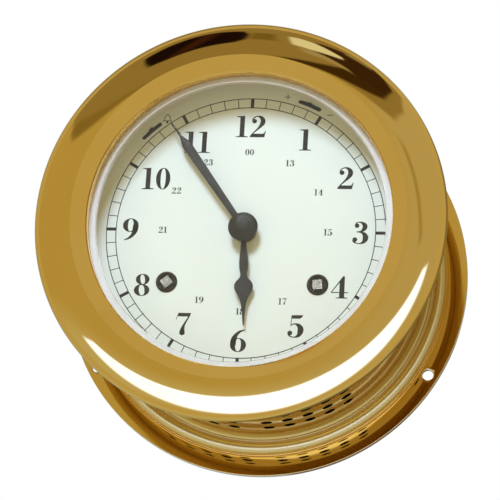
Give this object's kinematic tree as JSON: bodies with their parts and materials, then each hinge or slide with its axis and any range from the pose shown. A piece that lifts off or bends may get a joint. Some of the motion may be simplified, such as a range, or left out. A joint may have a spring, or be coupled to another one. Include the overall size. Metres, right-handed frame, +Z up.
{
  "type": "ships bell clock",
  "caption": "Round brass bulkhead clock with a flanged case, screw-on bezel, bevelled glass, white dial and a striking movement with its bell inside.",
  "frame": {"origin": "centre of the flat back, on the plane that lies against the bulkhead", "axes": "+Z up through twelve o'clock, +X to three o'clock, +Y into the bulkhead, so the dial faces -Y"},
  "size_m": [0.1636, 0.09, 0.1636],
  "materials": {
    "polished_brass": "polished",
    "brass": "brushed",
    "steel": "brushed",
    "dark_steel": "blackened",
    "white_paint": "satin",
    "clear_glass": "polished",
    "black_rubber": "matt"
  },
  "bodies": {
    "case": {"case_body": "polished_brass", "back_cover": "brass", "back_cover_screw_1": "steel", "back_cover_screw_2": "steel", "back_cover_screw_3": "steel", "movement_back_plate": "brass", "movement_front_plate": "brass", "pillar_nut_1": "steel", "pillar_nut_2": "steel", "pillar_nut_3": "steel", "pillar_nut_4": "steel", "case_side_screw_1": "dark_steel", "case_side_screw_2": "dark_steel", "case_side_screw_3": "dark_steel", "dial": "white_paint", "going_winding_grommet": "brass", "strike_winding_grommet": "brass", "bell": "steel", "bell_post": "steel", "balance_cock": "brass"},
    "bezel_glass": {"glass": "clear_glass", "glass_gasket": "black_rubber", "glass_retaining_ring": "brass"},
    "bezel": {"bezel_ring": "polished_brass"},
    "minute_hand": {"minute_hand": "dark_steel", "hand_nut": "dark_steel", "cannon_pinion": "steel"},
    "hour_hand": {"hour_hand": "dark_steel", "hour_wheel": "brass"},
    "minute_wheel": {"minute_wheel": "brass"},
    "centre_wheel": {"centre_wheel": "brass"},
    "going_barrel": {"going_barrel": "brass", "going_barrel_cover": "brass", "going_mainspring": "steel"},
    "going_second_wheel": {"going_second_wheel": "brass"},
    "third_wheel": {"third_wheel": "brass"},
    "fourth_wheel": {"fourth_wheel": "brass"},
    "escape_wheel": {"escape_wheel": "steel"},
    "pin_wheel": {"pin_wheel": "brass"},
    "strike_barrel": {"strike_barrel": "brass", "strike_barrel_cover": "brass", "strike_mainspring": "steel"},
    "strike_second_wheel": {"strike_second_wheel": "brass"},
    "warning_wheel": {"warning_wheel": "brass"},
    "fly": {"fly": "brass"},
    "going_winding_arbor": {"going_winding_arbor": "steel", "going_ratchet_wheel": "steel"},
    "strike_winding_arbor": {"strike_winding_arbor": "steel", "strike_ratchet_wheel": "steel"},
    "going_click": {"going_click": "steel"},
    "strike_click": {"strike_click": "steel"},
    "pallet_lever": {"pallet_lever": "steel"},
    "balance": {"balance_wheel": "brass", "hairspring": "steel"},
    "regulator_lever": {"regulator_lever": "brass"},
    "strike_silent_lever": {"strike_silent_lever": "brass"},
    "rack": {"rack": "steel"},
    "rack_hook": {"rack_hook": "steel"},
    "hammer": {"hammer": "steel"}
  },
  "joints": [
    {"name": "bezel_travel", "type": "slide", "parent": "case", "child": "bezel_glass", "axis": [0, -1, 0], "range_m": [0, 0.006]},
    {"name": "bezel_unscrew", "type": "hinge", "parent": "bezel_glass", "child": "bezel", "pos_m": [0, 0, 0], "axis": [0, -1, 0], "range_deg": [0, 1440]},
    {"name": "minute_hand_turn", "type": "hinge", "parent": "case", "child": "minute_hand", "pos_m": [0, 0, 0], "axis": [0, 1, 0], "continuous": true},
    {"name": "hour_hand_turn", "type": "hinge", "parent": "case", "child": "hour_hand", "pos_m": [0, 0, 0], "axis": [0, 1, 0], "continuous": true},
    {"name": "minute_wheel_turn", "type": "hinge", "parent": "case", "child": "minute_wheel", "pos_m": [-0.01124, 0, -0.00524], "axis": [0, 1, 0], "continuous": true},
    {"name": "centre_wheel_turn", "type": "hinge", "parent": "case", "child": "centre_wheel", "pos_m": [0, 0, 0], "axis": [0, 1, 0], "continuous": true},
    {"name": "going_barrel_turn", "type": "hinge", "parent": "case", "child": "going_barrel", "pos_m": [0.0289, 0, -0.0208], "axis": [0, 1, 0], "continuous": true},
    {"name": "going_second_wheel_turn", "type": "hinge", "parent": "case", "child": "going_second_wheel", "pos_m": [0.01624, 0, -0.00404], "axis": [0, 1, 0], "continuous": true},
    {"name": "third_wheel_turn", "type": "hinge", "parent": "case", "child": "third_wheel", "pos_m": [0.00419, 0, 0.01565], "axis": [0, 1, 0], "continuous": true},
    {"name": "fourth_wheel_turn", "type": "hinge", "parent": "case", "child": "fourth_wheel", "pos_m": [0.01617, 0, 0.02001], "axis": [0, 1, 0], "continuous": true},
    {"name": "escape_wheel_turn", "type": "hinge", "parent": "case", "child": "escape_wheel", "pos_m": [0.01925, 0, 0.03148], "axis": [0, 1, 0], "continuous": true},
    {"name": "pin_wheel_turn", "type": "hinge", "parent": "case", "child": "pin_wheel", "pos_m": [-0.02488, 0, 0.01562], "axis": [0, 1, 0], "continuous": true},
    {"name": "strike_barrel_turn", "type": "hinge", "parent": "case", "child": "strike_barrel", "pos_m": [-0.0289, 0, -0.0208], "axis": [0, 1, 0], "continuous": true},
    {"name": "strike_second_wheel_turn", "type": "hinge", "parent": "case", "child": "strike_second_wheel", "pos_m": [-0.02346, 0, -0.00052], "axis": [0, 1, 0], "continuous": true},
    {"name": "warning_wheel_turn", "type": "hinge", "parent": "case", "child": "warning_wheel", "pos_m": [-0.01913, 0, 0.02558], "axis": [0, 1, 0], "continuous": true},
    {"name": "fly_turn", "type": "hinge", "parent": "case", "child": "fly", "pos_m": [-0.0144, 0, 0.03377], "axis": [0, 1, 0], "continuous": true},
    {"name": "going_winding", "type": "hinge", "parent": "case", "child": "going_winding_arbor", "pos_m": [0.0289, 0, -0.0208], "axis": [0, 1, 0], "continuous": true},
    {"name": "strike_winding", "type": "hinge", "parent": "case", "child": "strike_winding_arbor", "pos_m": [-0.0289, 0, -0.0208], "axis": [0, 1, 0], "continuous": true},
    {"name": "going_click_lift", "type": "hinge", "parent": "case", "child": "going_click", "pos_m": [0.0289, 0, -0.0076], "axis": [0, 1, 0], "range_deg": [-12, 0], "stiffness_Nm_per_rad": 0.002, "springref_deg": 5.73},
    {"name": "strike_click_lift", "type": "hinge", "parent": "case", "child": "strike_click", "pos_m": [-0.0289, 0, -0.0076], "axis": [0, 1, 0], "range_deg": [-12, 0], "stiffness_Nm_per_rad": 0.002, "springref_deg": 5.73},
    {"name": "pallet_lever_rock", "type": "hinge", "parent": "case", "child": "pallet_lever", "pos_m": [0.0107, 0, 0.0346], "axis": [0, 1, 0], "range_deg": [-5, 5]},
    {"name": "balance_swing", "type": "hinge", "parent": "case", "child": "balance", "pos_m": [0.00074, 0, 0.03822], "axis": [0, 1, 0], "range_deg": [-135, 135], "stiffness_Nm_per_rad": 0.00004},
    {"name": "regulator_set", "type": "hinge", "parent": "case", "child": "regulator_lever", "pos_m": [0.01201, 0, 0.02749], "axis": [0, 1, 0], "range_deg": [-6, 6]},
    {"name": "strike_silent_set", "type": "hinge", "parent": "case", "child": "strike_silent_lever", "pos_m": [-0.02084, 0, 0.02158], "axis": [0, 1, 0], "range_deg": [-6, 6]},
    {"name": "rack_fall", "type": "hinge", "parent": "case", "child": "rack", "pos_m": [0.00575, 0, -0.02338], "axis": [0, 1, 0], "range_deg": [-8, 0]},
    {"name": "rack_hook_lift", "type": "hinge", "parent": "case", "child": "rack_hook", "pos_m": [-0.01863, 0, -0.02566], "axis": [0, 1, 0], "range_deg": [-8, 0], "stiffness_Nm_per_rad": 0.002, "springref_deg": 5.73},
    {"name": "hammer_swing", "type": "hinge", "parent": "case", "child": "hammer", "pos_m": [-0.0315, 0, 0.0275], "axis": [0, 1, 0], "range_deg": [-1, 18], "stiffness_Nm_per_rad": 0.05}
  ],
  "couplings": [
    {"joint": "bezel_travel", "follows": "bezel_unscrew", "m_per_rad": 0.00023873},
    {"joint": "hour_hand_turn", "follows": "minute_hand_turn", "ratio": 0.083333},
    {"joint": "minute_wheel_turn", "follows": "minute_hand_turn", "ratio": -0.33333},
    {"joint": "going_barrel_turn", "follows": "centre_wheel_turn", "ratio": 0.033333},
    {"joint": "going_second_wheel_turn", "follows": "centre_wheel_turn", "ratio": -0.2},
    {"joint": "third_wheel_turn", "follows": "centre_wheel_turn", "ratio": -8},
    {"joint": "fourth_wheel_turn", "follows": "centre_wheel_turn", "ratio": 60},
    {"joint": "escape_wheel_turn", "follows": "centre_wheel_turn", "ratio": -480},
    {"joint": "strike_barrel_turn", "follows": "pin_wheel_turn", "ratio": 0.033333},
    {"joint": "strike_second_wheel_turn", "follows": "pin_wheel_turn", "ratio": -0.2},
    {"joint": "warning_wheel_turn", "follows": "pin_wheel_turn", "ratio": -6.6667},
    {"joint": "fly_turn", "follows": "pin_wheel_turn", "ratio": 40}
  ]
}
